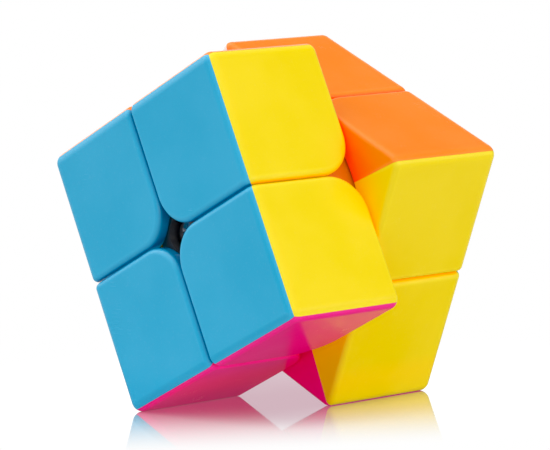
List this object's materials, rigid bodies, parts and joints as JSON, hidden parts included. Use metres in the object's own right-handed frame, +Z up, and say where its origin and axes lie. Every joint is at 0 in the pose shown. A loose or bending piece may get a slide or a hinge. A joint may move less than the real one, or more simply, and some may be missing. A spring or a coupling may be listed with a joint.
{
  "type": "twisty puzzle cube",
  "caption": "Stickerless twisty puzzle cube, two pieces to an edge, with its front layer part-turned on a hidden sprung core; corner pieces are coloured shells on plug-in feet.",
  "frame": {"origin": "centre of the core, which is also the centre of the bounding box", "axes": "+Y along the layer's turning axis from the blue side to the green side, horizontal; +Z up, square to the ground plane that touches the lowest edge of each layer; +X towards the yellow side"},
  "size_m": [0.0648, 0.05, 0.0648],
  "materials": {
    "blue_plastic": "glossy moulded plastic, through-coloured",
    "green_plastic": "glossy moulded plastic, through-coloured",
    "white_plastic": "glossy moulded plastic, through-coloured",
    "yellow_plastic": "glossy moulded plastic, through-coloured",
    "orange_plastic": "glossy moulded plastic, through-coloured",
    "pink_plastic": "glossy moulded plastic, through-coloured",
    "mechanism_plastic": "salmon-orange moulded plastic, satin",
    "dark_plastic": "dark moulded plastic, satin",
    "steel": "bright zinc-plated steel"
  },
  "bodies": {
    "core": {"bottom_centre": "dark_plastic", "bottom_left_edge": "mechanism_plastic", "bottom_right_edge": "mechanism_plastic", "core": "dark_plastic", "front_spring": "steel", "left_centre": "dark_plastic", "rear_spring": "steel", "right_centre": "dark_plastic", "side_springs": "steel", "side_washers": "steel", "tension_screws": "steel", "top_centre": "dark_plastic", "top_left_edge": "mechanism_plastic", "top_right_edge": "mechanism_plastic"},
    "front_washer": {"front_washer": "steel"},
    "front_layer": {"front_bottom_edge": "mechanism_plastic", "front_bottom_left_blue_shell": "blue_plastic", "front_bottom_left_foot": "mechanism_plastic", "front_bottom_left_pink_shell": "pink_plastic", "front_bottom_left_white_shell": "white_plastic", "front_bottom_right_blue_shell": "blue_plastic", "front_bottom_right_foot": "mechanism_plastic", "front_bottom_right_pink_shell": "pink_plastic", "front_bottom_right_yellow_shell": "yellow_plastic", "front_centre": "dark_plastic", "front_left_edge": "mechanism_plastic", "front_right_edge": "mechanism_plastic", "front_top_edge": "mechanism_plastic", "front_top_left_blue_shell": "blue_plastic", "front_top_left_foot": "mechanism_plastic", "front_top_left_orange_shell": "orange_plastic", "front_top_left_white_shell": "white_plastic", "front_top_right_blue_shell": "blue_plastic", "front_top_right_foot": "mechanism_plastic", "front_top_right_orange_shell": "orange_plastic", "front_top_right_yellow_shell": "yellow_plastic"},
    "rear_layer": {"rear_bottom_edge": "mechanism_plastic", "rear_bottom_left_foot": "mechanism_plastic", "rear_bottom_left_green_shell": "green_plastic", "rear_bottom_left_pink_shell": "pink_plastic", "rear_bottom_left_white_shell": "white_plastic", "rear_bottom_right_foot": "mechanism_plastic", "rear_bottom_right_green_shell": "green_plastic", "rear_bottom_right_pink_shell": "pink_plastic", "rear_bottom_right_yellow_shell": "yellow_plastic", "rear_centre": "dark_plastic", "rear_left_edge": "mechanism_plastic", "rear_right_edge": "mechanism_plastic", "rear_top_edge": "mechanism_plastic", "rear_top_left_foot": "mechanism_plastic", "rear_top_left_green_shell": "green_plastic", "rear_top_left_orange_shell": "orange_plastic", "rear_top_left_white_shell": "white_plastic", "rear_top_right_foot": "mechanism_plastic", "rear_top_right_green_shell": "green_plastic", "rear_top_right_orange_shell": "orange_plastic", "rear_top_right_yellow_shell": "yellow_plastic", "rear_washer": "steel"}
  },
  "joints": [
    {"name": "front_layer_lift", "type": "slide", "parent": "core", "child": "front_washer", "axis": [0, -1, 0], "range_m": [0, 0.0004], "stiffness_N_per_m": 800, "springref_m": -0.001, "deforming": ["front_spring"]},
    {"name": "front_layer_turn", "type": "hinge", "parent": "front_washer", "child": "front_layer", "pos_m": [0, 0, 0], "axis": [0, -1, 0], "continuous": true},
    {"name": "rear_layer_lift", "type": "slide", "parent": "core", "child": "rear_layer", "axis": [0, 1, 0], "range_m": [0, 0.0004], "stiffness_N_per_m": 800, "springref_m": -0.001, "deforming": ["rear_spring"]}
  ]
}
